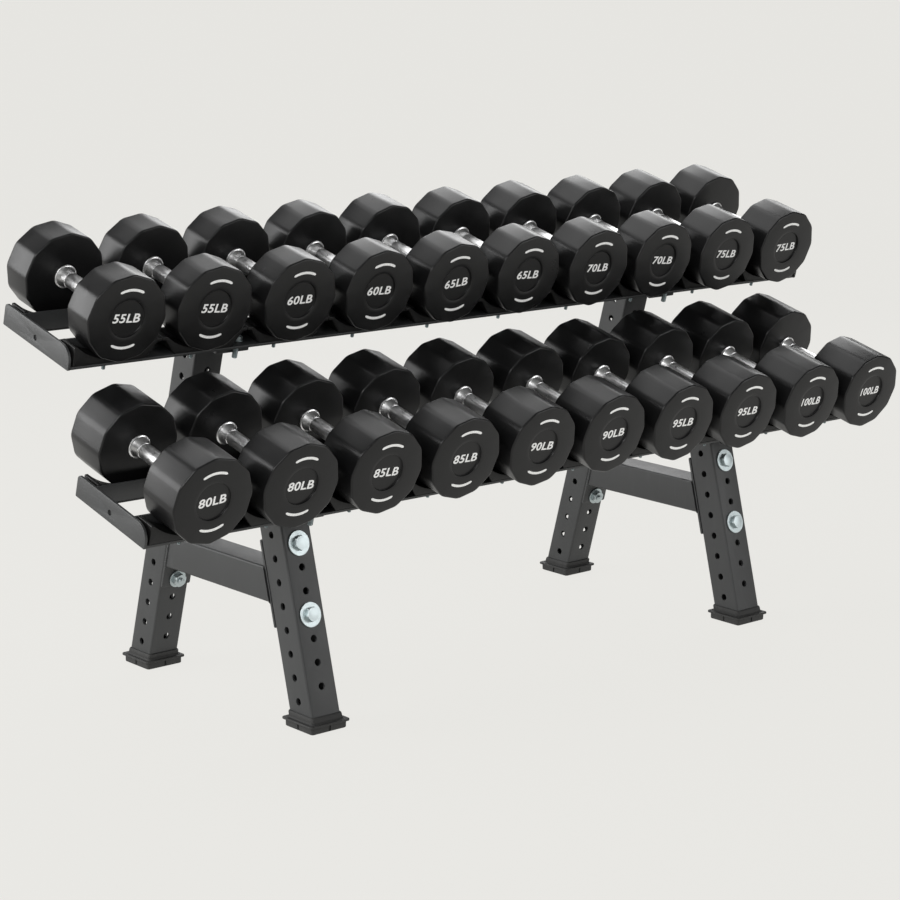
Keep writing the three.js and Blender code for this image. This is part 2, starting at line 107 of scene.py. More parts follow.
class Nodes:
    """Short ways to add the nodes that the materials share."""

    def __init__(self, mat):
        self.tree = mat.node_tree
        self.shader = mat.node_tree.nodes["Principled BSDF"]
        self.place = self.add("ShaderNodeTexCoord").outputs["Object"]

    def add(self, kind, **values):
        node = self.tree.nodes.new(kind)
        for key, value in values.items():
            setattr(node, key, value)
        return node

    def link(self, a, b):
        self.tree.links.new(a, b)

    def stretched(self, scale):
        node = self.add("ShaderNodeMapping")
        node.inputs["Scale"].default_value = scale
        self.link(self.place, node.inputs["Vector"])
        return node.outputs["Vector"]

    def noise(self, scale, detail=3.0, rough=0.5, vector=None):
        node = self.add("ShaderNodeTexNoise")
        node.inputs["Scale"].default_value = scale
        node.inputs["Detail"].default_value = detail
        node.inputs["Roughness"].default_value = rough
        self.link(vector or self.place, node.inputs["Vector"])
        return node.outputs["Fac"]

    def ranged(self, value, low, high, to_low, to_high):
        node = self.add("ShaderNodeMapRange")
        self.link(value, node.inputs["Value"])
        for key, number in zip(
            ("From Min", "From Max", "To Min", "To Max"), (low, high, to_low, to_high)
        ):
            node.inputs[key].default_value = number
        return node.outputs["Result"]

    def maths(self, operation, a, b):
        node = self.add("ShaderNodeMath", operation=operation)
        for socket, value in zip(node.inputs, (a, b)):
            if isinstance(value, (int, float)):
                socket.default_value = value
            else:
                self.link(value, socket)
        return node.outputs["Value"]

    def tint(self, factor, dark, light):
        node = self.add("ShaderNodeMix", data_type="RGBA")
        self.link(factor, node.inputs["Factor"])
        node.inputs[6].default_value = (*dark, 1)
        node.inputs[7].default_value = (*light, 1)
        self.link(node.outputs[2], self.shader.inputs["Base Color"])
        return node.outputs[2]

    def bump(self, height, distance, strength=1.0):
        node = self.add("ShaderNodeBump")
        node.inputs["Distance"].default_value = distance
        node.inputs["Strength"].default_value = strength
        self.link(height, node.inputs["Height"])
        self.link(node.outputs["Normal"], self.shader.inputs["Normal"])


def coated(name, color, rough, peel, peel_depth, lighten=1.5, specular=0.5):
    """Black coating or moulding: fine surface texture, cloudy gloss and faint rubbed streaks."""
    mat = material(name, color, rough, 0, specular)
    n = Nodes(mat)
    cloud = n.noise(9, 4, 0.6)
    fine = n.noise(peel, 2, 0.5)
    rubbed = n.ranged(n.noise(38, 5, 0.7, n.stretched((1, 1, 0.22))), 0.56, 0.72, 0, 1)
    blend = n.maths("ADD", n.ranged(cloud, 0.3, 0.7, 0, 0.5), n.maths("MULTIPLY", rubbed, 0.35))
    n.tint(blend, color, tuple(c * lighten for c in color))
    gloss = n.ranged(cloud, 0.3, 0.7, rough - 0.05, rough + 0.06)
    n.link(n.maths("SUBTRACT", gloss, n.maths("MULTIPLY", rubbed, 0.06)), n.shader.inputs["Roughness"])
    n.bump(fine, peel_depth)
    return mat


frame_paint = coated("powder_coat", (0.023, 0.024, 0.0245), 0.47, 1100, 0.00018)
cradle_plastic = coated("cradle_moulding", (0.005, 0.005, 0.005), 0.46, 1500, 0.0001, 1.5, 0.3)
foot_rubber = coated("foot_rubber", (0.016, 0.016, 0.0155), 0.68, 1400, 0.00015)
urethane = coated("head_urethane", (0.0038, 0.0038, 0.004), 0.34, 800, 0.00006, 1.35, 0.32)


def metal(name, color, low, high, grain, stretch):
    mat = material(name, color, low, 1.0)
    n = Nodes(mat)
    cloud = n.noise(60, 4, 0.6)
    lines = n.noise(grain, 3, 0.6, n.stretched(stretch))
    n.tint(n.ranged(cloud, 0.3, 0.7, 0, 1), tuple(c * 0.82 for c in color), color)
    mixed = n.maths("ADD", n.maths("MULTIPLY", cloud, 0.5), n.maths("MULTIPLY", lines, 0.5))
    n.link(n.ranged(mixed, 0.35, 0.65, low, high), n.shader.inputs["Roughness"])
    n.bump(lines, 0.00003)
    return mat


chrome = metal("chrome_plate", (0.95, 0.95, 0.95), 0.26, 0.4, 400, (1, 0.08, 1))
zinc = metal("zinc_plate", (0.5, 0.56, 0.57), 0.34, 0.5, 700, (1, 1, 1))

printed = material("white_print", (0.82, 0.82, 0.81), 0.45)
print_nodes = Nodes(printed)
print_nodes.tint(
    print_nodes.ranged(print_nodes.noise(420, 4, 0.7), 0.3, 0.62, 0, 1),
    (0.62, 0.62, 0.61),
    (0.86, 0.86, 0.85),
)
print_nodes.link(
    print_nodes.ranged(print_nodes.noise(90, 3), 0.3, 0.7, 0.38, 0.55),
    printed.node_tree.nodes["Principled BSDF"].inputs["Roughness"],
)


# ---- Mesh helpers. Loops are lists of points, all wound the same way. ----
def loft(bm, loops, cap_first=True, cap_last=True):
    rows = [[bm.verts.new(p) for p in loop] for loop in loops]
    count = len(rows[0])
    for a, b in zip(rows, rows[1:]):
        for i in range(count):
            j = (i + 1) % count
            bm.faces.new((a[i], a[j], b[j], b[i]))
    if cap_first:
        bm.faces.new(list(reversed(rows[0])))
    if cap_last:
        bm.faces.new(rows[-1])
    return rows


def finish_mesh(bm, name, matrix=Matrix.Identity(4), sharp=30):
    """Turns a sketch in millimetres into an object in the rack's frame, in metres."""
    bmesh.ops.recalc_face_normals(bm, faces=bm.faces)
    mesh = bpy.data.meshes.new(name)
    bm.to_mesh(mesh)
    bm.free()
    mesh.transform(matrix @ Matrix.Scale(MM, 4))
    mesh.shade_smooth()
    mesh.set_sharp_from_angle(angle=math.radians(sharp))
    obj = bpy.data.objects.new(name, mesh)
    bpy.context.scene.collection.objects.link(obj)
    return obj


def piece(obj, mat, body="rack", nodes=()):
    obj.data.materials.clear()
    obj.data.materials.append(mat)
    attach(obj, body)
    if nodes:
        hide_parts(*nodes)
    return obj


def offset(points, distance):
    """A closed outline drawn inwards by a distance, corner by corner."""
    out = []
    count = len(points)
    for i, p in enumerate(points):
        before, after = points[i - 1], points[(i + 1) % count]
        d1 = (p - before).normalized()
        d2 = (after - p).normalized()
        n1, n2 = Vector((-d1.y, d1.x)), Vector((-d2.y, d2.x))
        mid = n1 + n2
        out.append(p + mid * (distance / max(0.3, 1 + n1.dot(n2))))
    return out


def filleted(points, radius, steps=4):
    """An outline with each corner rounded, by no more than its sides allow."""
    out = []
    count = len(points)
    for i, p in enumerate(points):
        to_before = points[i - 1] - p
        to_after = points[(i + 1) % count] - p
        half = to_before.angle(to_after) / 2
        if half > math.radians(80):
            out.append(p)
            continue
        reach = min(radius / math.tan(half), 0.45 * to_before.length, 0.45 * to_after.length)
        a = p + to_before.normalized() * reach
        b = p + to_after.normalized() * reach
        for k in range(steps + 1):
            t = k / steps
            out.append(a * (1 - t) ** 2 + p * (2 * t * (1 - t)) + b * t**2)
    return out


def rectangle(left, right, low, high):
    return [Vector(p) for p in ((left, low), (right, low), (right, high), (left, high))]


def anticlockwise(points):
    area = sum(a.x * b.y - b.x * a.y for a, b in zip(points, points[1:] + points[:1]))
    return points if area > 0 else list(reversed(points))


def circle(x, y, radius, count=32):
    angles = [2 * math.pi * k / count for k in range(count)]
    return [Vector((x + radius * math.cos(a), y + radius * math.sin(a))) for a in angles]


def plate(bm, outline, thickness, to_space, round_by=0.8, holes=(), steps=2):
    """A slab of an outline, with rounded rims; to_space puts (x, y, depth from 0 to thickness) in space."""
    outline = anticlockwise(outline)
    stages = []
    for k in range(steps + 1):
        a = math.pi / 2 * k / steps
        stages.append((round_by * (1 - math.sin(a)), round_by * (1 - math.cos(a))))
    stages += [(inset, thickness - depth) for inset, depth in reversed(stages)]
    rims = [[], []]
    for loop, way in [(outline, 1)] + [(circle(*hole), -1) for hole in holes]:
        loops = []
        for inset, depth in stages:
            loops.append([to_space(p.x, p.y, depth) for p in offset(loop, way * inset)])
        rows = loft(bm, loops, False, False)
        rims[0].append(rows[0])
        rims[1].append(rows[-1])
    for rim in rims:
        edges = set()
        for row in rim:
            for i, v in enumerate(row):
                edges.add(bm.edges.get((v, row[(i + 1) % len(row)])))
        bmesh.ops.triangle_fill(bm, edges=list(edges), use_beauty=True)


def cut_with(obj, cutters):
    """Takes the cutters, a mesh sketch in metres, out of an object."""
    mesh = bpy.data.meshes.new("cutters")
    cutters.to_mesh(mesh)
    cutters.free()
    tool = bpy.data.objects.new("cutters", mesh)
    bpy.context.scene.collection.objects.link(tool)
    mod = obj.modifiers.new("cut", "BOOLEAN")
    mod.operation = "DIFFERENCE"
    mod.solver = "EXACT"
    mod.object = tool
    bpy.context.view_layer.update()
    made = bpy.data.meshes.new_from_object(obj.evaluated_get(bpy.context.evaluated_depsgraph_get()))
    obj.modifiers.clear()
    old = obj.data
    obj.data = made
    made.name = obj.name
    bpy.data.meshes.remove(old)
    bpy.data.objects.remove(tool)
    made.shade_smooth()
    made.set_sharp_from_angle(angle=math.radians(30))
    return obj


def add_rod(bm, radius, a, b, count=32):
    """A closed round bar from a to b."""
    a, b = Vector(a), Vector(b)
    along = (b - a).normalized()
    side = along.orthogonal().normalized()
    other = along.cross(side)
    angles = [2 * math.pi * k / count for k in range(count)]
    ring = [(side * math.cos(t) + other * math.sin(t)) * radius for t in angles]
    loft(bm, [[end + p for p in ring] for end in (a, b)])


def turned(bm, profile, to_space, count=48):
    """A closed turned piece from (radius, along) points."""
    angles = [2 * math.pi * k / count for k in range(count)]
    loft(bm, [[to_space(r * math.cos(a), r * math.sin(a), along) for a in angles] for r, along in profile])


def hexagon(r, a):
    """How far out a six-sided head reaches at an angle, with corners at a radius r."""
    third = math.pi / 3
    within = (a % third) - third / 2
    return r * math.cos(third / 2) / math.cos(within)


def nut(bm, across, low, high, to_space, dome=0.0):
    """A hexagon from low to high, chamfered at both ends, with a dome on top if one is asked for."""
    # how far out the corners reach, against how far up they are
    stages = ((0.82, 0), (0.9, 0), (1, 0.13), (1, 0.87), (0.9, 1), (0.82, 1))
    dome_share = 0.6
    angles = [2 * math.pi * k / 48 for k in range(48)]

    def ring(reach, z):
        return [to_space(reach(a) * math.cos(a), reach(a) * math.sin(a), z) for a in angles]

    loops = []
    for share, t in stages:

        def trimmed(a, most=across / 2 * share):
            return min(hexagon(across / 2, a), most)

        loops.append(ring(trimmed, low + t * (high - low)))
    if dome:
        loops.append(ring(lambda a: dome_share * across / 2, high + dome))
    loft(bm, loops)


def washer(bm, outer, low, high, to_space):
    edge = 0.6
    profile = [
        (outer / 2 - edge, low),
        (outer / 2, low + edge),
        (outer / 2, high - edge),
        (outer / 2 - edge, high),
    ]
    turned(bm, profile, to_space)


def threaded(bm, diameter, low, high, to_space, pitch=1.75):
    """A screw's length as close rings, with a chamfered end at high."""
    profile = []
    z = low
    while z < high - pitch:
        profile += [(diameter / 2 - 0.8, z), (diameter / 2, z + pitch * 0.5)]
        z += pitch
    profile += [(diameter / 2 - 0.8, high - 0.6), (diameter / 2 - 1.5, high)]
    turned(bm, profile, to_space, 32)


# ---- Legs, posts, feet and crossbar bolts ----
middle_y = centre("crossbar_left").y


def leg_matrix(stand, side):
    way = -1 if stand == "front_leg" else 1
    x = centre(f"{stand}_{side}").x
    foot = Matrix.Translation((x, middle_y + way * FOOT_SPREAD * MM, 0))
    return foot @ Matrix.Rotation(way * lean, 4, "X"), way


def rounded_square(half_x, half_y, radius, steps=5):
    loop = []
    for qx, qy, start in ((1, 1, 0), (-1, 1, 90), (-1, -1, 180), (1, -1, 270)):
        for k in range(steps + 1):
            a = math.radians(start + 90 * k / steps)
            loop.append(
                (qx * (half_x - radius) + radius * math.cos(a), qy * (half_y - radius) + radius * math.sin(a))
            )
    return loop


def leg(stand, side):
    matrix, way = leg_matrix(stand, side)
    angle = way * lean
    height = LEG_TRAY_HEIGHT[stand]
    drop = (BRACKET_PLATE + 2 * FIT) / math.cos(tilt - angle)

    def bottom(y):
        return (FOOT_FLOOR + FIT) / math.cos(angle) - y * math.tan(angle)

    def top(y):
        return height / math.cos(lean) - drop + y * math.tan(tilt - angle)

    half = TUBE / 2
    outer = rounded_square(half, half, TUBE_CORNER)
    inner = rounded_square(half - TUBE_WALL, half - TUBE_WALL, TUBE_CORNER - 3)
    bm = bmesh.new()
    rows = []
    for loop, ends in ((outer, (bottom, top)), (inner, (top, bottom))):
        for end in ends:
            rows.append([Vector((x, y, end(y))) for x, y in loop])
    loft(bm, rows + rows[:1], False, False)
    bmesh.ops.remove_doubles(bm, verts=bm.verts, dist=1e-4)
    obj = finish_mesh(bm, f"{stand}_{side}_tube", matrix)

    cutters = bmesh.new()
    for first, axis in ((HOLE_DATUM, "y"), (HOLE_DATUM + HOLE_PITCH / 2, "x")):
        lowest, highest = bottom(0) + END_MARGIN, top(0) - END_MARGIN
        z = first + math.ceil((lowest - first) / HOLE_PITCH) * HOLE_PITCH
        while z <= highest:
            far = Vector((0, TUBE, 0)) if axis == "y" else Vector((TUBE, 0, 0))
            at = Vector((0, 0, z))
            add_rod(cutters, TUBE_HOLE / 2, at - far, at + far, 28)
            z += HOLE_PITCH
    bmesh.ops.recalc_face_normals(cutters, faces=cutters.faces)
    bmesh.ops.transform(cutters, matrix=matrix @ Matrix.Scale(MM, 4), verts=cutters.verts)
    cut_with(obj, cutters)
    piece(obj, frame_paint, "rack", [f"{stand}_{side}"])


def foot(stand, side):
    way = leg_matrix(stand, side)[1]
    node = ("front_foot_" if stand == "front_leg" else "rear_foot_") + side
    x = centre(node).x
    angle = way * lean
    base = Matrix.Translation((x, middle_y + way * FOOT_SPREAD * MM, 0))
    shift = -math.tan(angle) * (PAD_HEIGHT + FLANGE_HEIGHT)
    pad_top = PAD_HEIGHT + FLANGE_HEIGHT

    def level(half, z, radius=4.0, centre_y=shift, deep=1.0):
        return [Vector((px, centre_y + py * deep, z)) for px, py in rounded_square(half, half, radius)]

    def around_tube(half, z, radius):
        return level(half, z, radius, -math.tan(angle) * z, 1 / math.cos(angle))

    pad, flange = PAD / 2, FLANGE_WIDTH / 2
    collar, socket = TUBE / 2 + COLLAR_WALL, TUBE / 2 + FIT
    loops = [
        level(pad - 1.5, 0, 5),
        level(pad, 1.5, 6),
        level(pad + 0.3, PAD_HEIGHT - 0.5, 6),
        level(flange - 0.8, PAD_HEIGHT, 6),
        level(flange, PAD_HEIGHT + 0.9, 7),
        level(flange, pad_top - 1.2, 7),
        level(flange - 0.5, pad_top - 0.3, 7),
        level(flange - 1.6, pad_top, 6),
        around_tube(collar + 2.6, pad_top + 0.2, 8),
        around_tube(collar, pad_top + 3, 8),
        around_tube(collar - 0.3, pad_top + COLLAR_HEIGHT - 3.2, 8),
        around_tube(collar - 1.3, pad_top + COLLAR_HEIGHT - 0.9, 7.5),
        around_tube(collar - 2.6, pad_top + COLLAR_HEIGHT, 7),
        around_tube(socket + 0.2, pad_top + COLLAR_HEIGHT - 0.6, 5.3),
        around_tube(socket, pad_top + COLLAR_HEIGHT - 2, 5.2),
        around_tube(socket, FOOT_FLOOR, 5.2),
    ]
    bm = bmesh.new()
    loft(bm, loops)
    obj = finish_mesh(bm, f"{node}_pad", base)
    # a small notch in the middle of each side of the pad
    cutters = bmesh.new()
    notch_half, notch_deep, notch_low, notch_high = 3, 2.2, 2, PAD_HEIGHT - 1.5
    for sx, sy in ((0, -1), (0, 1), (-1, 0), (1, 0)):
        half_x, half_y = (notch_half, notch_deep) if sy else (notch_deep, notch_half)
        square = [(px * half_x, py * half_y) for px, py in ((1, 1), (-1, 1), (-1, -1), (1, -1))]
        at_x, at_y = sx * pad, shift + sy * pad
        loft(cutters, [[Vector((at_x + u, at_y + v, z)) for u, v in square] for z in (notch_low, notch_high)])
    bmesh.ops.recalc_face_normals(cutters, faces=cutters.faces)
    bmesh.ops.transform(cutters, matrix=base @ Matrix.Scale(MM, 4), verts=cutters.verts)
    cut_with(obj, cutters)
    piece(obj, foot_rubber, "rack", [node])


def crossbar_bolt(stand, side, place):
    matrix, way = leg_matrix(stand, side)
    height = HOLE_DATUM - (BOLT_PITCHES * HOLE_PITCH if place == "bottom" else 0)
    # the head is on the leg's outer face: the front of a front leg, the back of a rear post
    outward = -1 if way < 0 else 1
    turn = rng.uniform(0, math.pi / 3)

    def to_space(u, v, along):
        c, s = math.cos(turn), math.sin(turn)
        return Vector((c * u - s * v, outward * along, height + s * u + c * v))

    face = TUBE / 2 + FIT
    bm = bmesh.new()
    washer(bm, WASHER, face, face + WASHER_THICKNESS, to_space)
    nut(bm, BOLT_HEAD, face + WASHER_THICKNESS, face + WASHER_THICKNESS + BOLT_HEAD_HEIGHT - 1, to_space, 0.6)
    back = -(TUBE / 2 + BAR_FLANGE + 2 * FIT)
    washer(bm, BACK_WASHER, back - WASHER_THICKNESS, back, to_space)
    nut(bm, BOLT_HEAD, back - WASHER_THICKNESS - BOLT_HEAD_HEIGHT, back - WASHER_THICKNESS, to_space)
    shank = [(BOLT / 2, face), (BOLT / 2, back - 5)]
    turned(bm, shank, to_space, 32)
    tail = back - WASHER_THICKNESS - BOLT_HEAD_HEIGHT
    threaded(bm, BOLT, -tail - 2, -tail + BOLT_TAIL, lambda u, v, along: to_space(u, v, -along))
    end = "front" if stand == "front_leg" else "rear"
    node = f"{end}_bolt_{place}_{side}"
    obj = finish_mesh(bm, f"{node}_set", matrix)
    piece(obj, zinc, "rack", [node])


# ---- Crossbars ----
def crossbar(side):
    node = f"crossbar_{side}"
    x = centre(node).x
    base = Matrix.Translation((x, middle_y, 0))
    bm = bmesh.new()

    def face(z, off):
        return -FOOT_SPREAD + math.tan(lean) * z + (TUBE / 2 + FIT + off) / math.cos(lean)

    half = TUBE / 2
    loops = []
    outer = rounded_square(half, half, TUBE_CORNER)
    inner = rounded_square(half - TUBE_WALL, half - TUBE_WALL, TUBE_CORNER - 3)
    for loop, ends in ((outer, (1, -1)), (inner, (-1, 1))):
        for way in ends:
            around = [(px, BAR_CENTRE + pz) for px, pz in loop]
            loops.append([Vector((px, way * face(z, BAR_FLANGE / 2), z)) for px, z in around])
    loft(bm, loops + loops[:1], False, False)
    bmesh.ops.remove_doubles(bm, verts=bm.verts, dist=1e-4)

    # flange plates, each drawn on its leg's face
    for way in (-1, 1):
        tip = Matrix.Translation((0, way * FOOT_SPREAD, 0)) @ Matrix.Rotation(way * lean, 4, "X")
        middle = HOLE_DATUM - BOLT_PITCHES * HOLE_PITCH / 2
        reach = BAR_FLANGE_LENGTH / 2 - 1
        shape = filleted(rectangle(-half, half, middle - reach, middle + reach), 4)
        near = half + FIT
        holes = [(0, HOLE_DATUM - p * HOLE_PITCH, TUBE_HOLE / 2) for p in (0, BOLT_PITCHES)]

        def to_space(u, v, depth, tip=tip, way=way, near=near):
            return tip @ Vector((u, -way * (near + depth), v))

        plate(bm, shape, BAR_FLANGE, to_space, 0.8, holes)

        # the weld round the tube's end
        bead = rounded_square(half, half, TUBE_CORNER, 8)
        bead_step, bead_size, sunk = 1.6, 3.6, 0.6
        path = []
        for i, (px, pz) in enumerate(bead):
            nx, nz = bead[(i + 1) % len(bead)]
            steps = max(1, round(math.hypot(nx - px, nz - pz) / bead_step))
            path += [(px + (nx - px) * k / steps, pz + (nz - pz) * k / steps) for k in range(steps)]
        rings = []
        for k in range(5):
            a = math.pi / 2 * k / 4
            ring = []
            for i, (px, pz) in enumerate(path):
                size = bead_size + 0.5 * math.sin(i * 1.9) + 0.25 * math.sin(i * 0.37)
                on_side, on_top = abs(px) > abs(pz) - 3, abs(pz) > abs(px) - 3
                out = Vector((px / half if on_side else 0, pz / half if on_top else 0)).normalized()
                spread = size * math.cos(a) - sunk
                z = BAR_CENTRE + pz + out.y * spread
                y = face(z, BAR_FLANGE - 0.2) + size * math.sin(a) / math.cos(lean)
                ring.append(Vector((px + out.x * spread, -way * y, z)))
            rings.append(ring)
        within = [(0.98 * px, BAR_CENTRE + 0.98 * pz) for px, pz in path]
        rings.append([Vector((px, -way * face(z, BAR_FLANGE - 0.2), z)) for px, z in within])
        loft(bm, rings + rings[:1], False, False)
    obj = finish_mesh(bm, f"{node}_weldment", base)
    piece(obj, frame_paint, "rack", [node])


# ---- Trays. Drawn in a tray's own frame: origin at its front bottom edge, Y up the slope. ----
def tray_matrix(tier):
    one = f"{tier}_dumbbell_01"
    turn = Matrix.Rotation(tilt, 4, "X")
    seat = Vector((centre(one).x, SEAT_BACK * MM, SEAT_HEIGHT * MM))
    seat_offset = turn @ Vector((0, seat.y, seat.z))
    at = centre(one) - seat_offset
    return Matrix.Translation((0, at.y, at.z)) @ turn


def seat_centres():
    return [(i - (SEATS - 1) / 2) * SEAT_PITCH for i in range(SEATS)]


def from_edge(rear, inset, width):
    return TRAY_DEPTH - inset - width if rear else inset


def end_plate(tier, side):
    node = f"{tier}_end_plate_{side}"
    low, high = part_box(node)
    outline = []
    foot, rear, front = END_PLATE_FOOT, END_PLATE_REAR, END_PLATE_FRONT
    corners = (
        (foot, foot, foot, 180, 270),
        (TRAY_DEPTH - foot, foot, foot, 270, 360),
        (TRAY_DEPTH - rear, END_PLATE_HEIGHT - rear, rear, 0, 90),
        (front, END_PLATE_HEIGHT - front, front, 90, 180),
    )
    for cy, cz, radius, start, end in corners:
        steps = 12 if radius == front else 5
        for k in range(steps + 1):
            a = math.radians(start + (end - start) * k / steps)
            outline.append(Vector((cy + radius * math.cos(a), cz + radius * math.sin(a))))
    left = low.x / MM
    thick = high.x / MM - left
    hole_y = TRAY_DEPTH / 2 + END_PLATE_HOLE_BACK
    hole = (hole_y, END_PLATE_HOLE_HEIGHT, END_PLATE_HOLE / 2)
    bm = bmesh.new()
    plate(bm, outline, thick, lambda u, v, d: Vector((left + d, u, v)), 0.9, [hole], 3)
    matrix = tray_matrix(tier)
    obj = finish_mesh(bm, f"{node}_sheet", matrix)
    piece(obj, frame_paint, "rack", [node])

    # a dark disc, set back in the hole from the plate's outer side: painted shade, so that the hole reads
    # dark instead of open
    def into_hole(u, v, d):
        return Vector((left + (d if side == "right" else thick - d), hole_y + u, END_PLATE_HOLE_HEIGHT + v))

    wide = END_PLATE_HOLE / 2 - 0.4
    profile = [(wide, 0.6), (wide, thick / 2), (wide - 1, thick / 2 + 0.3), (2, thick / 2 + 0.4)]
    bm = bmesh.new()
    turned(bm, profile, into_hole, 24)
    obj = finish_mesh(bm, f"{node}_painted_shade_disc", matrix)
    piece(obj, cradle_plastic, "rack")


def rail(tier, place):
    rear = place == "rear"
    node = f"{tier}_{place}_rail"
    low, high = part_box(node)
    left, right = low.x / MM, high.x / MM
    inner = RAIL_INNER[place]
    near, far = (inner, TRAY_DEPTH - RAIL_INSET) if rear else (RAIL_INSET, inner)
    flat = filleted(rectangle(left, right, near, far), 1.5)
    stud_y = from_edge(rear, STUD_BACK, 0)
    bracket_y = from_edge(rear, BRACKET_STUD_BACK, 0)
    leg_x = LEG_SEATS * SEAT_PITCH
    holes = [(x, stud_y, STUD / 2 + 1, 20) for x in seat_centres()]
    holes += [(x, bracket_y, BRACKET_STUD / 2 + 1, 20) for x in (-leg_x, leg_x)]
    bm = bmesh.new()
    plate(bm, flat, RAIL_THICKNESS, lambda u, v, d: Vector((u, v, d)), 0.8, holes)
    height = UPRIGHT_HEIGHT[place]
    face = near if rear else far - UPRIGHT
    upright = filleted(rectangle(left, right, 1, height), 1.5)
    plate(bm, upright, UPRIGHT, lambda u, v, d: Vector((u, face + d, v)), 0.8)
    obj = finish_mesh(bm, f"{node}_angle", tray_matrix(tier))
    piece(obj, frame_paint, "rack", [node])


def cradles(tier, place):
    rear = place == "rear"
    node = f"{tier}_{place}_cradles"
    half_flat = CRADLE_FLAT / 2
    half_seat = SEAT_PITCH / 2 - half_flat
    seat_bottom = SEAT_HEIGHT - HEAD / 2 - FIT
    rise = CRADLE_TOP - seat_bottom
    radius = (half_seat**2 + rise**2) / (2 * rise)
    swing = math.asin(half_seat / radius)
    foot_z = RAIL_THICKNESS + FIT
    hollow_top = CRADLE_TOP - CRADLE_WALL
    near = from_edge(rear, RAIL_INSET, CRADLE_DEPTH)
    bm = bmesh.new()
    joint = 0.35  # half the gap between two mouldings
    end = SEATS * SEAT_PITCH / 2 - CRADLE_END_GAP
    inner = half_seat + CRADLE_WALL / 2
    for seat, x in enumerate(seat_centres()):
        left, right = x - SEAT_PITCH / 2 + joint, x + SEAT_PITCH / 2 - joint
        first, last = seat == 0, seat == SEATS - 1
        points = [] if first else [Vector((left, hollow_top - 1))]
        points += [Vector((max(left, -end), CRADLE_TOP)), Vector((x - half_seat, CRADLE_TOP))]
        for k in range(1, 24):
            a = -math.pi / 2 - swing + 2 * swing * k / 24
            points.append(Vector((x + radius * math.cos(a), seat_bottom + radius + radius * math.sin(a))))
        points += [Vector((x + half_seat, CRADLE_TOP)), Vector((min(right, end), CRADLE_TOP))]
        # a half hollow at each side, except at the tray's ends, where the moulding has a plain end wall
        if last:
            points.append(Vector((end, foot_z)))
        else:
            points += [Vector((right, hollow_top - 1)), Vector((x + inner, hollow_top - 1))]
            points.append(Vector((x + SEAT_PITCH / 2 - HOLLOW_WIDTH / 2, foot_z)))
        if first:
            points.append(Vector((-end, foot_z)))
        else:
            points.append(Vector((x - SEAT_PITCH / 2 + HOLLOW_WIDTH / 2, foot_z)))
            points.append(Vector((x - inner, hollow_top - 1)))
        points = filleted(anticlockwise(points), 2.5, 4)
        plate(bm, points, CRADLE_DEPTH, lambda u, v, d: Vector((u, near + d, v)), 1.5, (), 3)
    obj = finish_mesh(bm, f"{node}_mouldings", tray_matrix(tier), 35)
    piece(obj, cradle_plastic, "rack", [node])

    # screws up through the rail into each moulding
    bm = bmesh.new()
    stud_y = from_edge(rear, STUD_BACK, 0)
    for x in seat_centres():
        turn = rng.uniform(0, 1)

        def down(u, v, along, x=x, turn=turn):
            c, s = math.cos(turn), math.sin(turn)
            return Vector((x + c * u - s * v, stud_y + s * u + c * v, -along))

        washer(bm, SCREW_WASHER, 0.1, 0.1 + THIN_WASHER, down)
        if rear:
            # a pan head instead of a nut
            turned(bm, [(5, 1.7), (7, 2.2), (7, 3.6), (5.6, 5.2), (2.4, 6)], down, 28)
            continue
        nut(bm, SCREW_NUT, 0.1 + THIN_WASHER, 0.1 + THIN_WASHER + SCREW_NUT_HEIGHT, down)
        threaded(bm, STUD, 6, STUD_DROP[place] - RAIL_THICKNESS, down, 1.25)
    obj = finish_mesh(bm, f"{node}_screws", tray_matrix(tier))
    piece(obj, zinc, "rack")


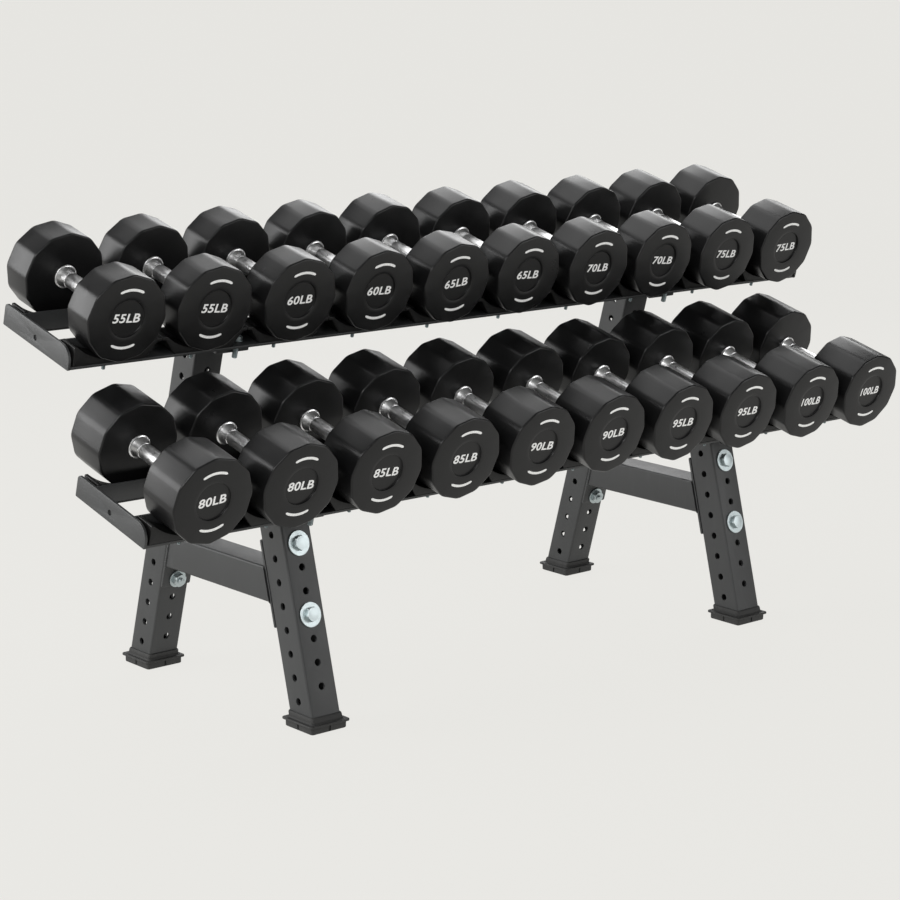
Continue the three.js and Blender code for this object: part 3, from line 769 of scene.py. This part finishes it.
def bracket(tier, side):
    node = f"{tier}_bracket_{side}"
    x = centre(node).x / MM
    inner = TUBE / 2 + FIT
    outer = inner + BRACKET_WALL
    front, back = BRACKET_FRONT, BRACKET_BACK
    bm = bmesh.new()
    top = filleted(rectangle(x - outer, x + outer, front, back), 3)
    stud_y = {place: from_edge(place == "rear", BRACKET_STUD_BACK, 0) for place in ("front", "rear")}
    holes = [(x, y, BRACKET_STUD / 2 + 0.5, 20) for y in stud_y.values()]
    plate(bm, top, BRACKET_PLATE, lambda u, v, d: Vector((u, v, -FIT - d)), 0.8, holes)
    # the skirt: a ring of four walls, open beneath, with the leg's top inside it
    skirt_y = (front + back) / 2
    half_y = (back - front) / 2 - BRACKET_NOSE
    edge = 0.8
    within = -FIT - BRACKET_PLATE / 2
    stages = (
        (0, within),
        (0, -BRACKET_DEPTH + edge),
        (edge, -BRACKET_DEPTH),
        (BRACKET_WALL - edge, -BRACKET_DEPTH),
        (BRACKET_WALL, -BRACKET_DEPTH + edge),
        (BRACKET_WALL, within),
    )
    loops = []
    for inset, z in stages:
        ring = rounded_square(outer - inset, half_y - inset, max(1.2, 4 - inset))
        loops.append([Vector((x + px, skirt_y + py, z)) for px, py in ring])
    loft(bm, loops + loops[:1], False, False)
    bmesh.ops.remove_doubles(bm, verts=bm.verts, dist=1e-4)
    obj = finish_mesh(bm, f"{node}_saddle", tray_matrix(tier))
    piece(obj, frame_paint, "rack", [node])

    bm = bmesh.new()
    rail_top = RAIL_THICKNESS + FIT
    under = -FIT - BRACKET_PLATE
    for place, y in stud_y.items():
        turn = rng.uniform(0, 1)

        def up(u, v, along, y=y, turn=turn):
            c, s = math.cos(turn), math.sin(turn)
            return Vector((x + c * u - s * v, y + s * u + c * v, along))

        nut_foot = rail_top + THIN_WASHER
        washer(bm, BRACKET_WASHER, rail_top, nut_foot, up)
        nut(bm, BRACKET_NUT, nut_foot, nut_foot + BRACKET_NUT_HEIGHT, up)
        threaded(bm, BRACKET_STUD, -8, rail_top + BRACKET_STUD_RISE, up)
        washer(bm, BRACKET_UNDER_WASHER, under - 1.8, under - 0.1, up)
        threaded(bm, BRACKET_STUD, 6, BRACKET_STUD_DROP[place], lambda u, v, along: up(u, v, -along))
    obj = finish_mesh(bm, f"{node}_hardware", tray_matrix(tier))
    piece(obj, zinc, "rack")


for stand in ("front_leg", "rear_post"):
    for side in ("left", "right"):
        leg(stand, side)
        foot(stand, side)
        for place in ("top", "bottom"):
            crossbar_bolt(stand, side, place)
for side in ("left", "right"):
    crossbar(side)
for tier in ("lower", "upper"):
    for side in ("left", "right"):
        end_plate(tier, side)
        bracket(tier, side)
    for place in ("front", "rear"):
        rail(tier, place)
        cradles(tier, place)


# ---- Dumbbells, drawn with Y along the handle ----
def head_loop(radius, inset, y, corner=33, steps=6, between=3):
    """Twelve-sided outline with rounded corners, a corner straight down, drawn in by an inset."""
    wedge = math.pi / HEAD_SIDES
    corner_y = radius - corner / math.cos(wedge)
    points = []
    for side in range(HEAD_SIDES):
        phase = -math.pi / 2 + side * 2 * wedge
        middle = Vector((math.cos(phase), math.sin(phase))) * corner_y
        for k in range(steps + 1):
            a = phase - wedge + 2 * wedge * k / steps
            points.append(middle + Vector((math.cos(a), math.sin(a))) * (corner - inset))
        following = phase + 2 * wedge
        nxt = Vector((math.cos(following), math.sin(following))) * corner_y
        a = phase + wedge
        start = points[-1]
        end = nxt + Vector((math.cos(a), math.sin(a))) * (corner - inset)
        for k in range(1, between):
            points.append(start.lerp(end, k / between))
    return [Vector((p.x, y, p.y)) for p in points]


def round_loop(like, radius, y):
    """A circle with its points at the same angles as another loop's."""
    out = []
    for p in like:
        a = math.atan2(p.z, p.x)
        out.append(Vector((radius * math.cos(a), y, radius * math.sin(a))))
    return out


def head(bm, near, far):
    """A head from its inner face at near to its marked face at far, along Y."""
    way = 1 if far > near else -1
    r = HEAD / 2 + HEAD_ROUNDED_OFF
    rim = 4.2  # radius of the rounded edge at each face
    like = head_loop(r, 0, 0)
    loops = [round_loop(like, SLEEVE / 2 - 6, near), round_loop(like, SLEEVE / 2 + 8, near)]
    for k in range(5):
        a = math.pi / 2 * k / 4
        loops.append(head_loop(r, rim * (1 - math.sin(a)), near + way * rim * (1 - math.cos(a))))
    for k in range(5):
        a = math.pi / 2 * k / 4
        loops.append(head_loop(r, rim * (1 - math.cos(a)), far - way * rim * (1 - math.sin(a))))
    edge = RECESS / 2
    deep = RECESS_DEPTH
    step = ((8, 0), (1.2, 0), (0.4, 0.3), (0, 1), (-0.3, deep - 0.8), (-1.1, deep), (-10, deep))
    for radius, depth in ((edge + out, down) for out, down in step):
        loops.append(round_loop(like, radius, far - way * depth))
    loft(bm, loops)


def sleeve_radius(y):
    """The handle's radius against distance from its middle: knurled bar, cone, then a thin flange."""
    end = GRIP_LENGTH / 2
    start = end - SLEEVE_LENGTH
    if y <= start:
        return GRIP / 2
    t = (y - start) / (end - start - 4)
    if t >= 1:
        return SLEEVE / 2
    return GRIP / 2 + (SLEEVE / 2 - 3 - GRIP / 2) * t**1.15


KNURL = 0.2  # depth of the cuts in the bar


def handle(bm):
    end = GRIP_LENGTH / 2
    start = end - SLEEVE_LENGTH
    around = 72
    knurl_to = start - 3
    rows = []

    def ring(radius, y, crossed=None):
        points = []
        for i in range(around):
            rr = radius - (KNURL if crossed is not None and (i + crossed) % 2 else 0)
            a = 2 * math.pi * i / around
            points.append(Vector((rr * math.cos(a), y, rr * math.sin(a))))
        return points

    flange = SLEEVE / 2
    half = [(flange - 1, end), (flange, end - 0.8), (flange, end - 2.4), (flange - 0.8, end - 3.2)]
    for k in range(11):
        y = end - 4 - (end - 4 - start) * k / 10
        half.append((sleeve_radius(y - 1e-6), y))
    half += [(GRIP / 2 - 0.9, start - 0.6), (GRIP / 2 - 0.9, start - 2.2), (GRIP / 2, knurl_to)]
    for radius, y in half:
        rows.append(ring(radius, -y))
    count = 64
    for j in range(count + 1):
        rows.append(ring(GRIP / 2, -knurl_to + 2 * knurl_to * j / count, j))
    for radius, y in reversed(half):
        rows.append(ring(radius, y))
    loft(bm, rows)


def lettering(text, height, width):
    """A number in plain bold slanted strokes, centred on the origin, as a flat mesh in millimetres."""
    curve = bpy.data.curves.new("number", "FONT")
    curve.body = text
    curve.align_x = "CENTER"
    curve.align_y = "CENTER"
    curve.shear = 0.12
    curve.offset = 0.02
    curve.space_character = 1.06
    curve.resolution_u = 5
    curve.extrude = 0.1
    obj = bpy.data.objects.new("number", curve)
    bpy.context.scene.collection.objects.link(obj)
    bpy.context.view_layer.update()
    mesh = bpy.data.meshes.new_from_object(obj.evaluated_get(bpy.context.evaluated_depsgraph_get()))
    bpy.data.objects.remove(obj)
    xs = [v.co.x for v in mesh.vertices]
    ys = [v.co.y for v in mesh.vertices]
    mid = Vector(((min(xs) + max(xs)) / 2, (min(ys) + max(ys)) / 2, 0))
    scale_y = height / (max(ys) - min(ys))
    scale_x = min(width / (max(xs) - min(xs)), scale_y * WIDEST_STRETCH)
    for v in mesh.vertices:
        v.co = Vector(((v.co.x - mid.x) * scale_x, (v.co.y - mid.y) * scale_y, v.co.z))
    return mesh


MARK_RADIUS, MARK_WIDTH, MARK_SPAN = 63, 5.5, 27  # the span is in degrees, each way
NUMBER_HEIGHT, NUMBER_WIDTH, WIDEST_STRETCH = 19.5, 66, 1.35
PRINT = 0.35  # how far the print stands out of a face, and is let into it


def markings(bm, pounds, face_y, way, roll):
    """White number in the recess, and a plain arc above and below it, as a thin layer of print."""
    text = lettering(f"{pounds}LB", NUMBER_HEIGHT, NUMBER_WIDTH)
    c, s = math.cos(roll), math.sin(roll)

    def on_face(u, v, lift):
        u *= -way
        return Vector((c * u - s * v, face_y + way * lift, s * u + c * v))

    def lift_of(v):
        return (PRINT if v.co.z > 0 else -PRINT) - RECESS_DEPTH

    verts = [bm.verts.new(on_face(v.co.x, v.co.y, lift_of(v))) for v in text.vertices]
    for polygon in text.polygons:
        bm.faces.new([verts[i] for i in polygon.vertices])
    bpy.data.meshes.remove(text)
    for middle in (90, 270):
        rings = []
        for k in range(25):
            t = k / 24
            a = math.radians(middle - MARK_SPAN + 2 * MARK_SPAN * t)
            half = MARK_WIDTH / 2 * max(0.3, math.sqrt(1 - (2 * t - 1) ** 16))
            near, far = MARK_RADIUS - half, MARK_RADIUS + half
            corners = ((near, -PRINT), (far, -PRINT), (far, PRINT), (near, PRINT))
            rings.append([on_face(r * math.cos(a), r * math.sin(a), z) for r, z in corners])
        loft(bm, rings)


MOST_ROLL = 5  # degrees a dumbbell may be turned in its cradles


def dumbbell(tier, seat):
    node = f"{tier}_dumbbell_{seat + 1:02d}"
    pounds = FIRST_POUNDS[tier] + 5 * (seat // 2)
    low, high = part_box(node)
    at = (low + high) / 2
    # the CAD solid's own length, from its box along the handle
    co, si = math.cos(tilt), math.sin(tilt)
    length = ((high.y - low.y) / MM - HEAD * si) / co
    roll = math.radians(rng.uniform(-MOST_ROLL, MOST_ROLL))
    matrix = Matrix.Translation(at) @ Matrix.Rotation(tilt, 4, "X")
    turn = Matrix.Rotation(roll, 4, "Y")

    bm = bmesh.new()
    for way in (-1, 1):
        head(bm, way * GRIP_LENGTH / 2, way * length / 2)
    obj = finish_mesh(bm, f"{node}_heads", matrix @ turn, 24)
    piece(obj, urethane, node, [node])

    bm = bmesh.new()
    handle(bm)
    obj = finish_mesh(bm, f"{node}_handle", matrix @ turn, 28)
    piece(obj, chrome, node)

    bm = bmesh.new()
    for way in (-1, 1):
        markings(bm, pounds, way * length / 2, way, -roll)
    obj = finish_mesh(bm, f"{node}_print", matrix)
    piece(obj, printed, node)


for tier in ("lower", "upper"):
    for seat in range(SEATS):
        dumbbell(tier, seat)

# ---- Floor, light and camera ----
FLOOR_REACH = 90  # metres each way, so that it fills the picture
floor_mesh = bpy.data.meshes.new("floor")
sketch = bmesh.new()
bmesh.ops.create_grid(sketch, x_segments=2, y_segments=2, size=FLOOR_REACH)
sketch.to_mesh(floor_mesh)
sketch.free()
floor = bpy.data.objects.new("floor", floor_mesh)
bpy.context.scene.collection.objects.link(floor)
pale = material("floor_pale", (0.02, 0.02, 0.02), 0.9, 0.0, 0.0)
pale_shader = pale.node_tree.nodes["Principled BSDF"]
pale_shader.inputs["Emission Color"].default_value = (1, 0.99, 0.952, 1)
pale_shader.inputs["Emission Strength"].default_value = 0.79
floor.data.materials.append(pale)


def area_light(name, at, aim, size, power):
    lamp = bpy.data.lights.new(name, "AREA")
    lamp.shape = "RECTANGLE"
    lamp.size, lamp.size_y = size
    lamp.energy = power
    obj = bpy.data.objects.new(name, lamp)
    obj.location = at
    obj.rotation_euler = (Vector(aim) - Vector(at)).to_track_quat("-Z", "Y").to_euler()
    bpy.context.scene.collection.objects.link(obj)


area_light("left_rear", (-3.6, 2.0, 1.9), (-0.2, 0, 0.6), (3.4, 2.6), 172)
area_light("right_rear", (3.2, 2.6, 3.0), (0, 0, 0.7), (3.4, 3.0), 110)
area_light("overhead", (0.0, 0.9, 3.6), (0, 0, 0.8), (3.5, 2.2), 56)
area_light("front_left", (-4.0, -2.7, 2.7), (0, 0, 0.6), (2.5, 1.8), 120)
area_light("front_right", (2.2, -3.6, 1.3), (-0.3, -0.2, 0.5), (2.4, 1.6), 45)

world = bpy.data.worlds.new("studio")
bpy.context.scene.world = world
world.use_nodes = True
world.node_tree.nodes["Background"].inputs["Color"].default_value = (1, 1, 0.985, 1)
world.node_tree.nodes["Background"].inputs["Strength"].default_value = 0.18

SENSOR, FOCAL = 36, 99.66
camera_data = bpy.data.cameras.new("camera")
camera_data.sensor_width = SENSOR
camera_data.lens = FOCAL
camera_data.clip_end = 500
camera = bpy.data.objects.new("camera", camera_data)
bpy.context.scene.collection.objects.link(camera)
camera.matrix_world = (
    Matrix.Translation((-3.7617, -4.2299, 1.6733))
    @ Matrix.Rotation(math.radians(-41.18), 4, "Z")
    @ Matrix.Rotation(math.radians(90 - 12.03), 4, "X")
    @ Matrix.Rotation(math.radians(0.55), 4, "Z")
)
bpy.context.scene.camera = camera
bpy.context.scene.view_settings.view_transform = "Standard"
